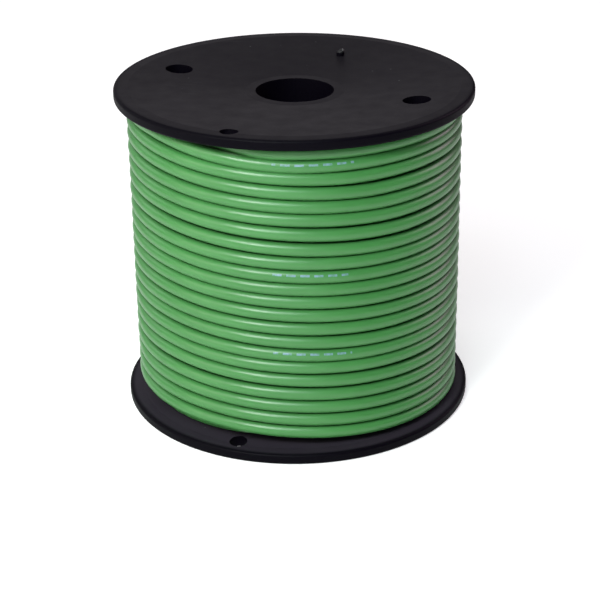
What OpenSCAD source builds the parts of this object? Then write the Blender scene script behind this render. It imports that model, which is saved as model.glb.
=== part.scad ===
// Plastic spool wound with a full length of stranded automotive primary wire.
// Millimetres, +Z up along the spool's axis. The spool stands on its lower flange,
// and the origin is the centre of that flange's outer rim face. The front is -Y.

/* [Spool] */
// Outer diameter of both flanges
flange_d = 101.6; // [98:0.2:106]
// Height over both flanges, rim to rim
spool_h = 94.8; // [90:0.2:100]
// Thickness of a flange at its rim
flange_t = 3; // [2.6:0.1:3.4]
// Depth of each flange's dished outer face at the arbor hole
dish_depth = 2.5; // [1.5:0.1:2.6]
// Radius of the rounded edges of the rim
rim_round = 0.8; // [0.4:0.1:1.2]
// Diameter of the arbor hole
arbor_d = 22.2; // [20:0.1:23]
// Outer diameter of the barrel that the wire is wound on
barrel_d = 55.4; // [54:0.1:55.4]
// Wall thickness of the barrel
barrel_wall = 2.2; // [1.6:0.1:2.6]

/* [Flange holes] */
// Diameter of the two drive holes
drive_hole_d = 7.9; // [6:0.1:9]
// Diameter of the circle that the drive holes lie on
drive_pcd = 73.6; // [70:0.1:78]
// Direction of the first drive hole, counted from +X
drive_az = 155; // [150:1:160]
// Diameter of the small hole for a wire end
wire_hole_d = 5; // [4.5:0.1:6]
// Distance of the small hole from the axis
wire_hole_r = 45.8; // [44:0.1:46]
// Direction of the small hole, counted from +X
wire_hole_az = 248; // [240:1:256]
// Distance of the moulding gate's stub from the axis
gate_r = 32.4; // [30:0.1:40]
// Direction of the gate's stub, counted from +X
gate_az = 65; // [60:1:75]

/* [Wire] */
// Outer diameter of the insulated wire
wire_d = 3.8; // [3.6:0.05:3.85]
// Radial distance from one layer of wire to the next
layer_pitch = 3.2; // [3.1:0.05:3.25]
// Diameter of one copper strand
strand_d = 0.47; // [0.4:0.01:0.48]
// Length of bare strand that stands out of a cut end
strand_len = 1.2; // [0.8:0.1:2]
// Direction in which the last part turn begins, counted from +X
last_turn_from = -50; // [-70:1:-30]
// Direction in which the wire's outer end lies, counted from +X
last_turn_to = 75; // [40:1:110]

/* [Hidden] */
LAYERS = 6;

$fn = 128;
flange_r = flange_d / 2;
arbor_r = arbor_d / 2;
barrel_r = barrel_d / 2;
barrel_bore_r = barrel_r - barrel_wall;
wire_r = wire_d / 2;

// The outer face is a shallow cone between these radii, flat inside and outside them
dish_from_r = 14;
dish_to_r = 46.8;
// The inner face is flat, as the barrel's seat, out to this radius
seat_r = 28.3;
seat_z = flange_t + dish_depth;

// Collar round the arbor hole and ring that plugs into the barrel, inside the flange
collar_wall = 2;
collar_h = 8;
plug_wall = 2.2;
plug_h = 7;
plug_chamfer = 0.6;
gate_d = 2.4;
gate_h = 1.4;
// How far the stub starts below the face, so that the two are one solid
gate_sink = 0.5;

// How far a cutter reaches past each side of what it cuts
overrun = 1;

// The wire's start lies on an arc of radius start_arc_r in the barrel's hollow. From start_az
// it runs straight out along the arc's tangent, through a slanted hole in ring and barrel.
start_arc_r = 18;
start_az = 45;
start_end_az = -15;
start_z = 8.9;
start_hole_d = 5;
start_hole_from = 8;
start_hole_len = 18;
// Length of the straight run, which ends inside the barrel's wall, and how far back
// into the arc it reaches
start_straight = 19.2;
start_overlap = 0.4;

// Six strands round one, and twelve round those, a little apart
STRAND_RINGS = [[1, 0], [6, 1], [12, 2]];
strand_pitch = strand_d * 1.03;

plastic_black = [0.09, 0.09, 0.10];
wire_green = [0.30, 0.62, 0.28];
copper = [0.80, 0.47, 0.30];

// Height of a flange's inner face above its rim face, at radius r
function inner_face_z(r) =
    r <= seat_r ? seat_z :
    r >= dish_to_r ? flange_t :
    flange_t + dish_depth * (dish_to_r - r) / (dish_to_r - seat_r);

// Depth of a flange's outer face below its rim face, at radius r
function outer_face_z(r) =
    r <= dish_from_r ? dish_depth :
    r >= dish_to_r ? 0 :
    dish_depth * (dish_to_r - r) / (dish_to_r - dish_from_r);

// Inner and outer radius of a wound layer, counted from 1 at the barrel
layer_step = (2 * wire_r + (LAYERS - 1) * layer_pitch) / LAYERS;
function layer_in(i) = barrel_r + layer_step * (i - 1);
function layer_out(i) = barrel_r + layer_step * i;
last_turn_r = barrel_r + wire_r + (LAYERS - 1) * layer_pitch;
last_turn_z = flange_t + wire_r + 0.2;
// The outer layer stops above the last part turn, and the four inmost layers stand clear
// of the drive holes' inner mouths
outer_layer_low_z = last_turn_z + wire_r + 0.05;
hole_mouth_z = inner_face_z((drive_pcd - drive_hole_d) / 2);
function layer_low(i, r) =
    i == LAYERS ? outer_layer_low_z :
    i == LAYERS - 1 ? inner_face_z(r) :
    max(inner_face_z(r), hole_mouth_z);
function layer_high(i, r) =
    spool_h - (i >= LAYERS - 1 ? inner_face_z(r) : layer_low(i, r));

// Points of a quarter circle about c, from angle a to angle b
function arc(c, r, a, b, n = 8) =
    [for (i = [0:n]) c + r * [cos(a + (b - a) * i / n), sin(a + (b - a) * i / n)]];

// One flange with its rim face on z = 0 and its inside towards +Z
module flange() {
    difference() {
        union() {
            rotate_extrude() polygon(concat(
                [[arbor_r, outer_face_z(0)], [dish_from_r, outer_face_z(0)], [dish_to_r, 0]],
                arc([flange_r - rim_round, rim_round], rim_round, -90, 0),
                arc([flange_r - rim_round, flange_t - rim_round], rim_round, 0, 90),
                [[dish_to_r, flange_t], [seat_r, seat_z]],
                [[barrel_bore_r, seat_z], [barrel_bore_r, seat_z + plug_h - plug_chamfer],
                 [barrel_bore_r - plug_chamfer, seat_z + plug_h],
                 [barrel_bore_r - plug_wall, seat_z + plug_h], [barrel_bore_r - plug_wall, seat_z]],
                [[arbor_r + collar_wall, seat_z], [arbor_r + collar_wall, seat_z + collar_h],
                 [arbor_r, seat_z + collar_h]]));
            // Stub left by the moulding gate
            rotate([0, 0, gate_az]) translate([gate_r, 0, outer_face_z(gate_r) + gate_sink])
                mirror([0, 0, 1]) cylinder(d = gate_d, h = gate_h);
        }
        for (side = [0, 180])
            rotate([0, 0, drive_az + side]) translate([drive_pcd / 2, 0, -overrun])
                cylinder(d = drive_hole_d, h = seat_z + 2 * overrun);
        rotate([0, 0, wire_hole_az]) translate([wire_hole_r, 0, -overrun])
            cylinder(d = wire_hole_d, h = seat_z + 2 * overrun);
    }
}

// Puts what stands along +Z at the start of the straight run, pointing out along it
module on_start_line() {
    rotate([0, 0, start_az]) translate([start_arc_r, 0, start_z])
        rotate([-90, 0, 0]) children();
}

// The slanted hole that the wire's start goes through, clear of the collar
module start_hole() {
    on_start_line() translate([0, 0, start_hole_from])
        cylinder(d = start_hole_d, h = start_hole_len);
}

module lower_flange() {
    color(plastic_black) difference() {
        flange();
        start_hole();
    }
}

module upper_flange() {
    color(plastic_black) translate([0, 0, spool_h]) mirror([0, 0, 1]) flange();
}

module barrel() {
    color(plastic_black) difference() {
        rotate_extrude() translate([barrel_bore_r, seat_z])
            square([barrel_wall, spool_h - 2 * seat_z]);
        start_hole();
    }
}

// The space that one wound layer fills, from flange to flange
module wire_layer(i) {
    // A flange's inner face bends at these radii, so the layer's ends bend there too
    bends = [for (r = [seat_r, dish_to_r]) if (r > layer_in(i) && r < layer_out(i)) r];
    radii = concat([layer_in(i)], bends, [layer_out(i)]);
    n = len(radii) - 1;
    color(wire_green) rotate_extrude() polygon(concat(
        [for (r = radii) [r, layer_low(i, r)]],
        [for (k = [n:-1:0]) [radii[k], layer_high(i, radii[k])]]));
}

// The last part turn, lying along the lower flange
module wire_last_turn() {
    color(wire_green) translate([0, 0, last_turn_z]) rotate([0, 0, last_turn_from])
        rotate_extrude(angle = last_turn_to - last_turn_from)
            translate([last_turn_r, 0]) circle(r = wire_r, $fn = 32);
}

// Nineteen bare strands standing out along +Z
module strands() {
    color(copper) for (ring = STRAND_RINGS, i = [0:ring[0] - 1])
        rotate([0, 0, i * 360 / ring[0]]) translate([ring[1] * strand_pitch, 0, 0])
            cylinder(d = strand_d, h = strand_len, $fn = 16);
}

module wire_finish_strands() {
    rotate([0, 0, last_turn_to]) translate([last_turn_r, 0, last_turn_z])
        rotate([-90, 0, 0]) strands();
}

module wire_start_tail() {
    color(wire_green) {
        on_start_line() translate([0, 0, -start_overlap])
            cylinder(r = wire_r, h = start_straight + start_overlap);
        translate([0, 0, start_z]) rotate([0, 0, start_end_az])
            rotate_extrude(angle = start_az - start_end_az)
                translate([start_arc_r, 0]) circle(r = wire_r);
    }
}

module wire_start_strands() {
    rotate([0, 0, start_end_az]) translate([start_arc_r, 0, start_z])
        rotate([90, 0, 0]) strands();
}

upper_flange();
lower_flange();
barrel();
wire_layer(1);  // wire_layer_1
wire_layer(2);  // wire_layer_2
wire_layer(3);  // wire_layer_3
wire_layer(4);  // wire_layer_4
wire_layer(5);  // wire_layer_5
wire_layer(6);  // wire_layer_6
wire_last_turn();
wire_finish_strands();
wire_start_tail();
wire_start_strands();
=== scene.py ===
"""A plastic spool wound with green stranded wire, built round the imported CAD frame.

Metres, +Z up along the spool's axis, front towards -Y. Azimuth is counted in degrees from +X,
counterclockwise seen from above, which is also the way the wire runs from its start to its end.
"""

import math
import random

import bpy
from mathutils import Matrix, Vector


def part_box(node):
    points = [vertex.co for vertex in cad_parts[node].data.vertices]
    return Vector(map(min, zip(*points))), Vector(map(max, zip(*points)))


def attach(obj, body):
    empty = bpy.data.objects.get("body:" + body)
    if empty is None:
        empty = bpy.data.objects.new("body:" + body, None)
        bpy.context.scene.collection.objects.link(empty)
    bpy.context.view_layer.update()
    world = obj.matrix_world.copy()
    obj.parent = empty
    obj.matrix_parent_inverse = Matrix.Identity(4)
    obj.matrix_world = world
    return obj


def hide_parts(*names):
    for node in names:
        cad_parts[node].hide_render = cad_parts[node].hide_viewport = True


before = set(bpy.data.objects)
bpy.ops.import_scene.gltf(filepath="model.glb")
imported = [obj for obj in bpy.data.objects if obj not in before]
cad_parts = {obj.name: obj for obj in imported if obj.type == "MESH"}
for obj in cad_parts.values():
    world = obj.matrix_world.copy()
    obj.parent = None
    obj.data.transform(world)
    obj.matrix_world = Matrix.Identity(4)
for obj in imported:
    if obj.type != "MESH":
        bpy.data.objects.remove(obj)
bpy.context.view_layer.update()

MM = 0.001

# The frame's own sizes
FLANGE_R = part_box("lower_flange")[1].x
SPOOL_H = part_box("upper_flange")[1].z

# The wire, as in the CAD source
WIRE_R = 1.9 * MM
LAYERS = 6
FIRST_LAYER_R = 29.6 * MM
LAYER_PITCH = 3.2 * MM
LAST_TURN_TO = 75
STRAND_R = 0.235 * MM
STRAND_LEN = 1.2 * MM
STRAND_RINGS = ((1, 0), (6, 1), (12, 2))
STRAND_PITCH = 0.484 * MM
STRAND_SIDES = 12
# Rings of points along a strand, and how far it reaches back into the wire
STRAND_STATIONS = 6
STRAND_ROOT = 0.5 * MM
# How far a strand's tip may splay and what part of a turn it twists, in the first ring round
# the middle one, and twice that in the second
STRAND_SPLAY = 0.04 * MM
STRAND_TWIST = 0.05

# Printed dashes on the outer layer: the passes they are on, where they begin, and their pattern
INK_PASSES = (1, 9, 15)
INK_FROM = 259
INK_ROW = 21 * MM
INK_STEP = 3.6 * MM
INK_FILL = 0.66
INK_BAND = (0.900, 0.950)

# The upper flange's gate stub, as in the CAD source
GATE_AZ = 65
GATE_R = 32.4 * MM
GATE_TOP = 94.6 * MM
# The torn end's rings of points, each with its radius and its height over the stub, and how
# far it leans over for each unit of height
TEAR_RINGS = (
    (1.17 * MM, -0.20 * MM),
    (1.12 * MM, 0.25 * MM),
    (0.98 * MM, 0.60 * MM),
    (0.55 * MM, 0.82 * MM),
    (0.22 * MM, 1.00 * MM),
)
TEAR_SIDES = 14
TEAR_LEAN = 0.55
# The tear is pale, partly as torn plastic and partly as a painted highlight, beyond this distance from
# the stub's middle, and above this height over it
PALE_BEYOND = 0.45 * MM
PALE_ABOVE = 0.50 * MM

# The wire's start inside the barrel, as in the CAD source: an arc, then a straight run along
# its tangent, and a bend that joins the first layer
START_ARC_R = 18 * MM
START_AZ = 45
START_END_AZ = -15
START_Z = 8.9 * MM
START_BEND_R = 8 * MM

# Heights of each layer's first and last level stretch, and the number of steps between them
LAYER_ENDS = {
    1: (8.9 * MM, 87.4 * MM, 20),
    2: (88.0 * MM, 6.82 * MM, 21),
    3: (6.82 * MM, 88.0 * MM, 21),
    4: (88.0 * MM, 6.82 * MM, 21),
    5: (5.55 * MM, 89.25 * MM, 21),
    6: (89.7 * MM, 5.1 * MM, 22),
}
# In the outer layer, how far the second pass slips under the first, the least distance from
# one turn to the next, and how far the last pass lies under the one before it
SLIP = 3.7 * MM
TIGHT_PITCH = 3.8 * MM
LAST_PITCH = 3.9 * MM

# Each turn steps down or up by one pitch inside this window, and lies level outside it
CROSS_FROM = 210
CROSS_TO = 350
# In the outer layer the window's two ends drift between these, from the top turn to the bottom
# one, and its second pass has a start of its own
OUTER_FROM = (198, 236)
OUTER_TO = (270, 350)
SECOND_FROM = 212
# Between these azimuths, behind the spool, the wire climbs from one layer to the next
CLIMB_FROM = 110
CLIMB_TO = 190
# The outer layer is reached at the front instead, between these
REACH_FROM = 234
REACH_TO = 266

# In the outer layer, how far a step stands proud and how far a turn wanders
STEP_BULGE = 0.45 * MM
WANDER = 0.10 * MM
# How much of a step is eased, where 0 is straight and 1 is a smooth S
EASE = 0.55

# Sides of the wire's tube, and degrees from ring to ring, wider in the layers that can't be seen
SIDES = 16
RING_STEPS = {6: 3.75, 5: 7.5}
HIDDEN_RING_STEP = 12

# The camera's place, its turn to the right and its tilt downwards in degrees, its focal length
# in millimetres, and its sideways shift
CAMERA_AT = (0, -0.4568, 0.2368)
CAMERA_YAW = 1.84
CAMERA_PITCH = 24.67
CAMERA_LENS = 101.1
CAMERA_SHIFT = -0.078

# The flanges' colour is darkened towards the rim as painted shade, between the first two distances from
# their edge. What stands upright further in than the third is the wall of a hole, and gets the same
# painted shade
RIM_SHADE_FROM = 1.9 * MM
RIM_SHADE_TO = 0.3 * MM
RIM_BAND = 3 * MM

FLOOR_HALF = 1.6


def polar(r, az, z):
    a = math.radians(az)
    return Vector((r * math.cos(a), r * math.sin(a), z))


def mix(a, b, t):
    return a + (b - a) * t


def smooth(t):
    t = min(1.0, max(0.0, t))
    return t * t * (3 - 2 * t)


# ---------------------------------------------------------------- camera

def make_camera():
    data = bpy.data.cameras.new("camera")
    data.sensor_width = 36
    data.lens = CAMERA_LENS
    data.shift_x = CAMERA_SHIFT
    data.clip_start = 0.01
    data.clip_end = 20
    camera = bpy.data.objects.new("camera", data)
    yaw = math.radians(CAMERA_YAW)
    pitch = math.radians(CAMERA_PITCH)
    level = Vector((math.sin(yaw), math.cos(yaw), 0))
    forward = level * math.cos(pitch) - Vector((0, 0, math.sin(pitch)))
    right = Vector((math.cos(yaw), -math.sin(yaw), 0))
    up = right.cross(forward)
    turn = Matrix((right, up, -forward)).transposed().to_4x4()
    camera.matrix_world = Matrix.Translation(CAMERA_AT) @ turn
    bpy.context.collection.objects.link(camera)
    bpy.context.scene.camera = camera


# ---------------------------------------------------------------- the wire's route

def levels(layer, rng):
    """Heights of a layer's level stretches. Turns mostly touch, with a few wider gaps."""
    first, last, steps = LAYER_ENDS[layer]
    if layer < LAYERS:
        return [mix(first, last, i / steps) for i in range(steps + 1)]
    # The first pass stays level, pressed against the flange, and the next one slips below it
    heights = [first, first, first - SLIP]
    count = steps - 3
    spare = (heights[-1] - last - LAST_PITCH) / count - TIGHT_PITCH
    # Uneven gaps, which get wider towards the bottom
    gaps = [min(2.2, rng.expovariate(1.0)) * mix(0.6, 1.4, i / count) for i in range(count)]
    mean = sum(gaps) / count
    for gap in gaps:
        heights.append(heights[-1] - TIGHT_PITCH - spare * gap / mean)
    return heights + [last]


def crossing(layer, i, steps):
    """Azimuths between which step i of a layer is made. The outer layer's drift downwards."""
    if layer < LAYERS:
        return CROSS_FROM, CROSS_TO
    down = max(0, i - 1) / (steps - 2)
    start = SECOND_FROM if i == 1 else mix(*OUTER_FROM, down ** 2)
    return start, mix(*OUTER_TO, math.sqrt(down))


def start_route():
    """From the bare end inside the barrel to where the wire meets the first layer."""
    points = [polar(START_ARC_R, mix(START_END_AZ, START_AZ, i / 20), START_Z) for i in range(20)]
    foot = polar(START_ARC_R, START_AZ, START_Z)
    out = polar(1, START_AZ + 90, 0)
    inward = polar(-1, START_AZ, 0)
    reach = FIRST_LAYER_R - START_BEND_R
    straight = math.sqrt(reach ** 2 - (START_ARC_R - START_BEND_R) ** 2)
    points += [foot + out * straight * i / 16 for i in range(16)]
    centre = foot + out * straight + inward * START_BEND_R
    join_az = math.degrees(math.atan2(centre.y, centre.x))
    points += [centre + polar(START_BEND_R, mix(START_AZ, join_az, i / 8), 0) for i in range(8)]
    return points, join_az


def wobble(rng, size):
    """A slow smooth function of the azimuth that stays within about size."""
    waves = [(rng.uniform(0.6, 3.4), rng.uniform(0, 360), rng.uniform(0.4, 1)) for _ in range(4)]
    total = sum(share for _, _, share in waves)

    def offset(az):
        shares = [share * math.sin(math.radians(rate * az + phase)) for rate, phase, share in waves]
        return size * sum(shares) / total

    return offset


def wire_route():
    """Ring centres of the whole wire, from its start in the barrel to its cut outer end.

    Also gives each centre's distance along the wire, and where each row of print begins.
    """
    rng = random.Random(12)
    points, az = start_route()
    azimuths = [START_END_AZ] * len(points)
    printed = []
    sway = wobble(rng, WANDER)
    lift = wobble(rng, WANDER)

    def run(to_az, radius, height, bump, step, loose):
        nonlocal az
        count = max(1, round((to_az - az) / step))
        for i in range(count):
            t = i / count
            here = mix(az, to_az, t)
            r = mix(*radius, smooth(t)) + bump * math.sin(math.pi * t) ** 2
            z = mix(*height, mix(t, smooth(t), EASE))
            points.append(polar(r + loose * sway(here), here, z + loose * lift(here)))
            azimuths.append(here)
        az = to_az

    turn = 0
    for layer in range(1, LAYERS + 1):
        r = FIRST_LAYER_R + LAYER_PITCH * (layer - 1)
        steps = levels(layer, rng)
        step = RING_STEPS.get(layer, HIDDEN_RING_STEP)
        outer = layer == LAYERS
        loose = 1 if outer else 0
        bump = STEP_BULGE if outer else 0
        for i in range(len(steps) - 1):
            cross_from, cross_to = crossing(layer, i, len(steps) - 1)
            if outer and i in INK_PASSES:
                printed.append(turn + INK_FROM)
            if outer and i == 0:
                # The last layer is reached at the front, where the next pass slips down
                run(turn + REACH_FROM, (r - LAYER_PITCH,) * 2, (above, steps[0]), 0, step, 0)
                run(turn + REACH_TO, (r - LAYER_PITCH, r), (steps[0], steps[1]), 0, step, 0)
            else:
                run(turn + cross_from, (r, r), (steps[i], steps[i]), 0, step, loose)
                run(turn + cross_to, (r, r), (steps[i], steps[i + 1]), bump, step, loose)
            turn += 360
        above = steps[-1]
        if layer < LAYERS - 1:
            above = LAYER_ENDS[layer + 1][0]
            run(turn + CLIMB_FROM, (r, r), (steps[-1], steps[-1]), 0, step, loose)
            run(turn + CLIMB_TO, (r, r + LAYER_PITCH), (steps[-1], above), 0, step, 0)
    run(turn + LAST_TURN_TO, (r, r), (steps[-1], steps[-1]), 0, step, 0)
    points.append(polar(r, turn + LAST_TURN_TO, steps[-1]))
    lengths = [0.0]
    for a, b in zip(points, points[1:]):
        lengths.append(lengths[-1] + (b - a).length)
    starts = [lengths[next(i for i, az in enumerate(azimuths) if az >= at)] for at in printed]
    return points, lengths, starts


def tube(name, centres, lengths, radius, sides):
    """A closed tube with one ring of points round each centre, and U along it in metres."""
    points, faces = [], []
    n = len(centres)
    for i, c in enumerate(centres):
        along = (centres[min(i + 1, n - 1)] - centres[max(i - 1, 0)]).normalized()
        outward = Vector((c.x, c.y, 0))
        outward = (outward - along * outward.dot(along)).normalized()
        third = along.cross(outward)
        for k in range(sides):
            a = 2 * math.pi * k / sides
            points.append(c + radius * (math.cos(a) * outward + math.sin(a) * third))
    for i in range(n - 1):
        for k in range(sides):
            a = i * sides + k
            b = i * sides + (k + 1) % sides
            faces.append((a, b, b + sides, a + sides))
    faces.append(tuple(range(sides - 1, -1, -1)))
    faces.append(tuple(range((n - 1) * sides, n * sides)))
    mesh = bpy.data.meshes.new(name)
    mesh.from_pydata(points, [], faces)
    mesh.polygons.foreach_set("use_smooth", [True] * len(faces))
    uv = mesh.uv_layers.new(name="along")
    for polygon in mesh.polygons:
        for loop in polygon.loop_indices:
            i, k = divmod(mesh.loops[loop].vertex_index, sides)
            wrapped = k == 0 and polygon.index % sides == sides - 1
            uv.data[loop].uv = (lengths[i], 1.0 if wrapped else k / sides)
    mesh.update()
    piece = bpy.data.objects.new(name, mesh)
    bpy.context.collection.objects.link(piece)
    return piece


def joined(name, parts):
    """One mesh from several lists of points and faces, shaded smooth where a face is a quad."""
    points, faces = [], []
    for part_points, part_faces in parts:
        base = len(points)
        points += part_points
        faces += [tuple(base + k for k in face) for face in part_faces]
    mesh = bpy.data.meshes.new(name)
    mesh.from_pydata(points, [], faces)
    mesh.polygons.foreach_set("use_smooth", [len(f) == 4 for f in faces])
    piece = bpy.data.objects.new(name, mesh)
    bpy.context.collection.objects.link(piece)
    return piece


def strands(name, foot, forward, rng):
    """Nineteen twisted strands that stand out of a cut end, with unevenly snipped tips."""
    across = Vector((0, 0, 1))
    side = forward.cross(across)
    parts = []
    for count, ring in STRAND_RINGS:
        for i in range(count):
            length = STRAND_LEN * rng.uniform(0.86, 1.0)
            splay = rng.uniform(0, STRAND_SPLAY)
            tilt = rng.uniform(-0.3, 0.3)
            points, faces = [], []
            for j in range(STRAND_STATIONS):
                t = j / (STRAND_STATIONS - 1)
                turn = 2 * math.pi * (i / count + ring * STRAND_TWIST * t)
                out = ring * STRAND_PITCH + splay * t * ring
                centre = foot + out * (math.cos(turn) * across + math.sin(turn) * side)
                centre = centre + forward * (length * t - STRAND_ROOT * (1 - t))
                for k in range(STRAND_SIDES):
                    a = 2 * math.pi * k / STRAND_SIDES
                    slant = tilt * STRAND_R * math.cos(a) * (t == 1)
                    ray = math.cos(a) * across + math.sin(a) * side
                    points.append(centre + STRAND_R * ray - forward * max(0, slant))
                if j:
                    low = (j - 1) * STRAND_SIDES
                    for k in range(STRAND_SIDES):
                        a = low + k
                        b = low + (k + 1) % STRAND_SIDES
                        faces.append((a, b, b + STRAND_SIDES, a + STRAND_SIDES))
            last = (STRAND_STATIONS - 1) * STRAND_SIDES
            faces.append(tuple(range(STRAND_SIDES - 1, -1, -1)))
            faces.append(tuple(range(last, last + STRAND_SIDES)))
            parts.append((points, faces))
    return joined(name, parts)


def gate_tear(rng):
    """The ragged end of the gate's stub, which leans over and is pale where it tore, partly as a painted
    highlight.
    """
    centre = polar(GATE_R, GATE_AZ, GATE_TOP)
    points, faces = [], []
    for radius, height in TEAR_RINGS:
        lean = TEAR_LEAN * max(0, height)
        for k in range(TEAR_SIDES):
            a = 2 * math.pi * k / TEAR_SIDES
            r = radius * rng.uniform(0.80, 1.06)
            z = height + rng.uniform(-0.06, 0.08) * MM
            points.append(centre + Vector((r * math.cos(a) + lean, r * math.sin(a), z)))
    for j in range(len(TEAR_RINGS) - 1):
        for k in range(TEAR_SIDES):
            a = j * TEAR_SIDES + k
            b = j * TEAR_SIDES + (k + 1) % TEAR_SIDES
            faces.append((a, b, b + TEAR_SIDES, a + TEAR_SIDES))
    faces.append(tuple(range(TEAR_SIDES - 1, -1, -1)))
    faces.append(tuple(range(len(points) - TEAR_SIDES, len(points))))
    return joined("gate_tear", [(points, faces)])


# ---------------------------------------------------------------- materials

class Nodes:
    """A material's node tree, with short calls for adding and joining nodes."""

    def __init__(self, name):
        self.material = bpy.data.materials.new(name)
        self.material.use_nodes = True
        self.tree = self.material.node_tree
        self.shader = self.tree.nodes["Principled BSDF"]

    def add(self, kind, **values):
        node = self.tree.nodes.new(kind)
        for key, value in values.items():
            if key in node.inputs:
                node.inputs[key].default_value = value
            else:
                setattr(node, key, value)
        return node

    def join(self, out, into):
        self.tree.links.new(out, into)

    def noise(self, coords, scale, detail=3.0):
        node = self.add("ShaderNodeTexNoise", Scale=scale, Detail=detail, Roughness=0.55)
        self.join(coords, node.inputs["Vector"])
        return node.outputs["Fac"]

    def ramp(self, value, stops):
        node = self.add("ShaderNodeValToRGB")
        node.color_ramp.elements[0].position = stops[0][0]
        node.color_ramp.elements[1].position = stops[-1][0]
        for position, _ in stops[1:-1]:
            node.color_ramp.elements.new(position)
        for element, (_, colour) in zip(node.color_ramp.elements, stops):
            element.color = (*colour, 1)
        self.join(value, node.inputs["Fac"])
        return node.outputs["Color"]

    def spread(self, value, low, high):
        """Maps 0..1 to low..high."""
        node = self.add("ShaderNodeMapRange")
        node.inputs["To Min"].default_value = low
        node.inputs["To Max"].default_value = high
        self.join(value, node.inputs["Value"])
        return node.outputs["Result"]

    def dusty(self, colour, coords):
        """Adds sparse pale specks and a few faint hairline scuffs to a colour."""
        specks = self.add("ShaderNodeTexVoronoi", Scale=330.0, Randomness=1.0)
        self.join(coords, specks.inputs["Vector"])
        dots = self.math("LESS_THAN", specks.outputs["Distance"], 0.085)
        some = self.ramp(self.noise(coords, 90, 2), [(0.60, grey(0)), (0.66, grey(1))])
        stretch = self.add("ShaderNodeMapping")
        stretch.inputs["Rotation"].default_value = (0, 0, 0.5)
        stretch.inputs["Scale"].default_value = (60, 2400, 60)
        self.join(coords, stretch.inputs["Vector"])
        lines = self.ramp(self.noise(stretch.outputs["Vector"], 1, 1), [(0.70, grey(0)), (0.75, grey(1))])
        few = self.ramp(self.noise(coords, 45, 1), [(0.58, grey(0)), (0.66, grey(1))])
        dust = self.math("MULTIPLY", dots, some)
        scuff = self.math("MULTIPLY", self.math("MULTIPLY", lines, few), 0.25)
        node = self.add("ShaderNodeMix", data_type="RGBA")
        self.join(self.math("MAXIMUM", dust, scuff), node.inputs["Factor"])
        self.join(colour, node.inputs["A"])
        node.inputs["B"].default_value = (0.075, 0.075, 0.080, 1)
        return node.outputs["Result"]

    def math(self, operation, value, other=0):
        """Joins or sets the two inputs of a math node, whichever each one is."""
        node = self.add("ShaderNodeMath", operation=operation)
        for socket, given in zip(node.inputs, (value, other)):
            if isinstance(given, (int, float)):
                socket.default_value = given
            else:
                self.join(given, socket)
        return node.outputs[0]

    def bump(self, height, distance, strength):
        node = self.add("ShaderNodeBump", Strength=strength, Distance=distance)
        self.join(height, node.inputs["Height"])
        return node.outputs["Normal"]


def grey(v):
    return (v, v, v)


def ink_mask(m, along, starts):
    """1 on the printed dashes: a row of them from each start, on the wire's upper outer side."""
    split = m.add("ShaderNodeSeparateXYZ")
    m.join(along, split.inputs[0])
    distance = split.outputs["X"]
    around = split.outputs["Y"]

    def between(value, low, high):
        above = m.math("GREATER_THAN", value, low)
        return m.math("MULTIPLY", above, m.math("LESS_THAN", value, high))

    rows = None
    for start in starts:
        row = between(distance, start, start + INK_ROW)
        rows = row if rows is None else m.math("ADD", rows, row)
    dash = m.math("FRACT", m.math("DIVIDE", distance, INK_STEP))
    dash = m.math("LESS_THAN", dash, INK_FILL)
    return m.math("MULTIPLY", m.math("MULTIPLY", rows, dash), between(around, *INK_BAND))


def wire_material(ink_starts):
    m = Nodes("wire_pvc")
    coords = m.add("ShaderNodeTexCoord").outputs["Object"]
    along = m.add("ShaderNodeUVMap", uv_map="along").outputs["UV"]
    tint = m.noise(coords, 60, 2)
    colour = m.ramp(tint, [(0.3, (0.056, 0.228, 0.058)), (0.7, (0.064, 0.252, 0.066))])
    # Painted shade: the wire's colour darkens towards the valleys between turns, on its upper and lower
    # sides
    split = m.add("ShaderNodeSeparateXYZ")
    m.join(along, split.inputs[0])
    from_inside = m.math("ABSOLUTE", m.math("SUBTRACT", split.outputs["Y"], 0.5))
    valley_shade = m.ramp(from_inside, [(0.235, grey(0.10)), (0.285, grey(0.62)), (0.375, grey(1.0))])
    shaded = m.add("ShaderNodeMix", data_type="RGBA", blend_type="MULTIPLY")
    shaded.inputs["Factor"].default_value = 1.0
    m.join(colour, shaded.inputs["A"])
    m.join(valley_shade, shaded.inputs["B"])
    colour = shaded.outputs["Result"]
    ink = m.add("ShaderNodeMix", data_type="RGBA")
    worn = m.ramp(m.noise(coords, 900, 2), [(0.35, grey(0.30)), (0.60, grey(0.80))])
    m.join(m.math("MULTIPLY", ink_mask(m, along, ink_starts), worn), ink.inputs["Factor"])
    m.join(colour, ink.inputs["A"])
    ink.inputs["B"].default_value = (0.24, 0.36, 0.52, 1)
    m.join(ink.outputs["Result"], m.shader.inputs["Base Color"])
    rough = m.noise(coords, 420, 4)
    m.join(m.spread(rough, 0.28, 0.40), m.shader.inputs["Roughness"])
    fine = m.noise(coords, 2600, 3)
    m.join(m.bump(fine, 0.00002, 0.5), m.shader.inputs["Normal"])
    m.shader.inputs["Specular IOR Level"].default_value = 0.6
    return m.material


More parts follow.
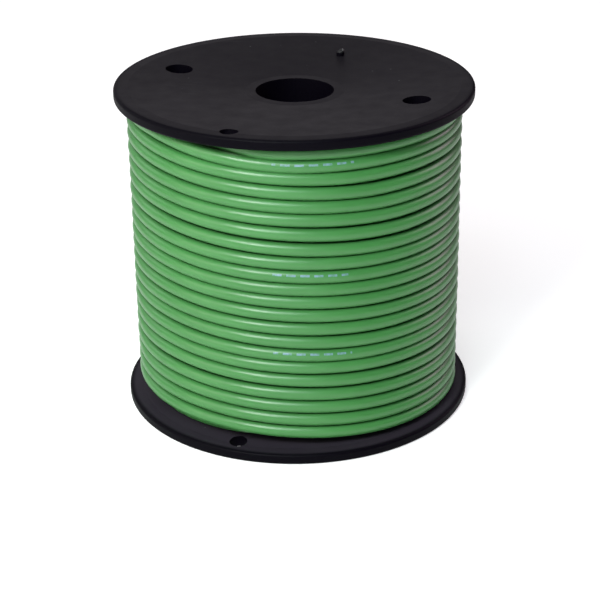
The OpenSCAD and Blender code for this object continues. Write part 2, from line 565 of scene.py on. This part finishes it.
def flange_material(name, dark, light):
    """Black plastic with satin, slightly dusty faces, and painted shade that darkens it on the rim and on
    the walls of the holes.
    """
    m = Nodes(name)
    texture = m.add("ShaderNodeTexCoord")
    coords = texture.outputs["Object"]
    flat = m.add("ShaderNodeVectorMath", operation="MULTIPLY")
    flat.inputs[1].default_value = (1, 1, 0)
    m.join(coords, flat.inputs[0])
    radius = m.add("ShaderNodeVectorMath", operation="LENGTH")
    m.join(flat.outputs[0], radius.inputs[0])
    rim = m.add("ShaderNodeMapRange", interpolation_type="SMOOTHSTEP")
    rim.inputs["From Min"].default_value = FLANGE_R - RIM_SHADE_FROM
    rim.inputs["From Max"].default_value = FLANGE_R - RIM_SHADE_TO
    m.join(radius.outputs["Value"], rim.inputs["Value"])
    normal = m.add("ShaderNodeSeparateXYZ")
    m.join(texture.outputs["Normal"], normal.inputs[0])
    wall = m.math("LESS_THAN", m.math("ABSOLUTE", normal.outputs["Z"]), 0.5)
    outermost = m.math("GREATER_THAN", radius.outputs["Value"], FLANGE_R - RIM_BAND)
    hole = m.math("MULTIPLY", wall, m.math("SUBTRACT", 1, outermost))
    # Painted shade: where this mask is 1 the colour turns to the dark shade colour below, on the rim and
    # on the hole walls
    rim_and_hole_shade = m.math("MAXIMUM", rim.outputs["Result"], hole)
    flow = m.noise(coords, 30, 3)
    face = m.dusty(m.ramp(flow, [(0.3, dark), (0.75, light)]), coords)
    colour = m.add("ShaderNodeMix", data_type="RGBA")
    m.join(rim_and_hole_shade, colour.inputs["Factor"])
    m.join(face, colour.inputs["A"])
    colour.inputs["B"].default_value = (0.0020, 0.0013, 0.0036, 1)
    m.join(colour.outputs["Result"], m.shader.inputs["Base Color"])
    patchy = m.spread(m.noise(coords, 180, 5), 0.34, 0.52)
    rough = m.add("ShaderNodeMix", data_type="FLOAT")
    m.join(rim_and_hole_shade, rough.inputs["Factor"])
    m.join(patchy, rough.inputs["A"])
    rough.inputs["B"].default_value = 0.48
    m.join(rough.outputs["Result"], m.shader.inputs["Roughness"])
    fine = m.noise(coords, 1800, 3)
    m.join(m.bump(fine, 0.00003, 0.4), m.shader.inputs["Normal"])
    m.shader.inputs["Specular IOR Level"].default_value = 0.055
    return m.material


def barrel_material():
    m = Nodes("barrel_black")
    coords = m.add("ShaderNodeTexCoord").outputs["Object"]
    tint = m.noise(coords, 60, 3)
    m.join(m.ramp(tint, [(0.3, grey(0.010)), (0.7, grey(0.014))]), m.shader.inputs["Base Color"])
    m.join(m.spread(m.noise(coords, 240, 4), 0.55, 0.75), m.shader.inputs["Roughness"])
    m.join(m.bump(m.noise(coords, 1500, 3), 0.00004, 0.5), m.shader.inputs["Normal"])
    return m.material


def stub_material():
    """The plastic at the gate, black where it was moulded and pale where it tore, partly as a painted
    highlight.
    """
    m = Nodes("torn_plastic")
    coords = m.add("ShaderNodeTexCoord").outputs["Object"]
    tint = m.noise(coords, 1600, 4)
    split = m.add("ShaderNodeSeparateXYZ")
    m.join(coords, split.inputs[0])
    stub = polar(GATE_R, GATE_AZ, GATE_TOP)
    # Pale only on the upper side towards +X: torn plastic together with a painted highlight
    beyond = m.math("GREATER_THAN", split.outputs["X"], stub.x + PALE_BEYOND)
    above = m.math("GREATER_THAN", split.outputs["Z"], stub.z + PALE_ABOVE)
    torn = m.math("MULTIPLY", beyond, above)
    colour = m.add("ShaderNodeMix", data_type="RGBA")
    m.join(torn, colour.inputs["Factor"])
    colour.inputs["A"].default_value = (0.006, 0.005, 0.007, 1)
    m.join(m.ramp(tint, [(0.35, grey(0.035)), (0.65, grey(0.12))]), colour.inputs["B"])
    m.join(colour.outputs["Result"], m.shader.inputs["Base Color"])
    m.join(m.spread(tint, 0.6, 0.9), m.shader.inputs["Roughness"])
    m.join(m.bump(m.noise(coords, 3500, 4), 0.0001, 0.8), m.shader.inputs["Normal"])
    return m.material


def copper_material():
    m = Nodes("bare_copper")
    coords = m.add("ShaderNodeTexCoord").outputs["Object"]
    stain = m.noise(coords, 900, 4)
    colour = m.ramp(stain, [(0.3, (0.72, 0.30, 0.16)), (0.7, (0.86, 0.45, 0.28))])
    m.join(colour, m.shader.inputs["Base Color"])
    m.shader.inputs["Metallic"].default_value = 1.0
    m.join(m.spread(stain, 0.22, 0.38), m.shader.inputs["Roughness"])
    drawn = m.noise(coords, 6000, 2)
    m.join(m.bump(drawn, 0.00001, 0.4), m.shader.inputs["Normal"])
    return m.material


def floor_material():
    m = Nodes("floor_white")
    coords = m.add("ShaderNodeTexCoord").outputs["Object"]
    tint = m.ramp(m.noise(coords, 4), [(0.3, grey(0.93)), (0.7, grey(0.96))])
    m.join(tint, m.shader.inputs["Base Color"])
    m.shader.inputs["Roughness"].default_value = 0.9
    # Shadows are seen faintly on it, and the spool gets little light from it
    seen = m.add("ShaderNodeLightPath").outputs["Is Camera Ray"]
    m.shader.inputs["Emission Color"].default_value = (1, 1, 1, 1)
    m.join(m.spread(seen, 0.06, 0.42), m.shader.inputs["Emission Strength"])
    return m.material


# ---------------------------------------------------------------- studio

def area_light(name, place, size, power, colour=(1, 1, 1)):
    """A rectangular lamp that faces the middle of the spool."""
    data = bpy.data.lights.new(name, "AREA")
    data.shape = "RECTANGLE"
    data.size, data.size_y = size
    data.energy = power
    data.color = colour
    light = bpy.data.objects.new(name, data)
    light.location = place
    aim = Vector((0, 0, SPOOL_H / 2)) - Vector(place)
    light.rotation_euler = aim.to_track_quat("-Z", "Y").to_euler()
    bpy.context.collection.objects.link(light)


def make_studio():
    mesh = bpy.data.meshes.new("floor")
    corners = [(x * FLOOR_HALF, y * FLOOR_HALF, 0) for x, y in ((-1, -1), (1, -1), (1, 1), (-1, 1))]
    mesh.from_pydata(corners, [], [(0, 1, 2, 3)])
    floor = bpy.data.objects.new("floor", mesh)
    mesh.materials.append(floor_material())
    bpy.context.collection.objects.link(floor)
    bpy.context.scene.world = make_world()
    # A panel overhead and behind, a key, a near and a low lamp in front, a large one at the left,
    # two behind at the sides, and a strip low behind that the top face mirrors
    area_light("overhead", (0, 0.5, 1.2), (1.5, 1.0), 5.0)
    area_light("key", (-0.09, -0.68, 0.78), (0.34, 0.30), 3.1, (0.84, 0.98, 1.0))
    area_light("near", (-0.25, -0.45, 0.45), (0.16, 0.16), 2.6, (0.95, 1.0, 0.98))
    area_light("left", (-1.0, -0.45, 0.45), (0.7, 0.7), 4.0, (1.0, 0.98, 0.84))
    area_light("front", (0, -1.1, 0.35), (0.8, 0.4), 1.2, (0.94, 1.0, 1.0))
    area_light("back_right", (0.95, 0.5, 0.62), (0.6, 0.6), 3.5, (1.0, 0.72, 0.90))
    area_light("back_left", (-1.0, 0.5, 0.55), (0.6, 0.6), 1.6)
    area_light("back_strip", (-0.25, 1.1, 0.31), (1.1, 0.42), 0.80, (1.0, 0.94, 1.0))
    bpy.context.scene.view_settings.view_transform = "Standard"


def make_world():
    """No light of its own, and pale where it is seen past the floor."""
    world = bpy.data.worlds.new("world")
    world.use_nodes = True
    tree = world.node_tree
    tree.nodes["Background"].inputs["Color"].default_value = (0, 0, 0, 1)
    pale = tree.nodes.new("ShaderNodeBackground")
    pale.inputs["Color"].default_value = (0.93, 0.93, 0.93, 1)
    path = tree.nodes.new("ShaderNodeLightPath")
    choose = tree.nodes.new("ShaderNodeMixShader")
    tree.links.new(path.outputs["Is Camera Ray"], choose.inputs["Fac"])
    tree.links.new(tree.nodes["Background"].outputs[0], choose.inputs[1])
    tree.links.new(pale.outputs[0], choose.inputs[2])
    tree.links.new(choose.outputs[0], tree.nodes["World Output"].inputs["Surface"])
    return world


# ---------------------------------------------------------------- assembly

make_camera()

centres, lengths, ink_starts = wire_route()
green = wire_material(ink_starts)
upper_black = flange_material("spool_black", (0.0082, 0.0070, 0.0094), (0.0106, 0.0092, 0.0120))
# Painted light: the lower flange gets far less light, so its colour is made paler to look as light as the
# upper one
lower_black_painted_paler = flange_material("spool_black_lower", (0.0290, 0.0240, 0.0335), (0.0350, 0.0295, 0.0395))
barrel_black = barrel_material()
copper = copper_material()

wire = tube("wire", centres, lengths, WIRE_R, SIDES)
wire.data.materials.append(green)
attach(wire, "root")
layer_nodes = [f"wire_layer_{i + 1}" for i in range(LAYERS)]
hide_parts(*layer_nodes, "wire_last_turn", "wire_start_tail")

rng = random.Random(19)
ends = (
    ("wire_start_strands", centres[0], centres[1]),
    ("wire_finish_strands", centres[-1], centres[-2]),
)
for name, tip, before in ends:
    piece = strands(name + "_cut", tip, (tip - before).normalized(), rng)
    piece.data.materials.append(copper)
    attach(piece, "root")
    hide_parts(name)

tear = gate_tear(rng)
tear.data.materials.append(stub_material())
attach(tear, "root")

cad_materials = {"upper_flange": upper_black, "lower_flange": lower_black_painted_paler, "barrel": barrel_black}
for name, material in cad_materials.items():
    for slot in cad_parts[name].material_slots:
        slot.material = material

make_studio()

print("wire", round(lengths[-1], 3), "m in", len(centres), "rings")
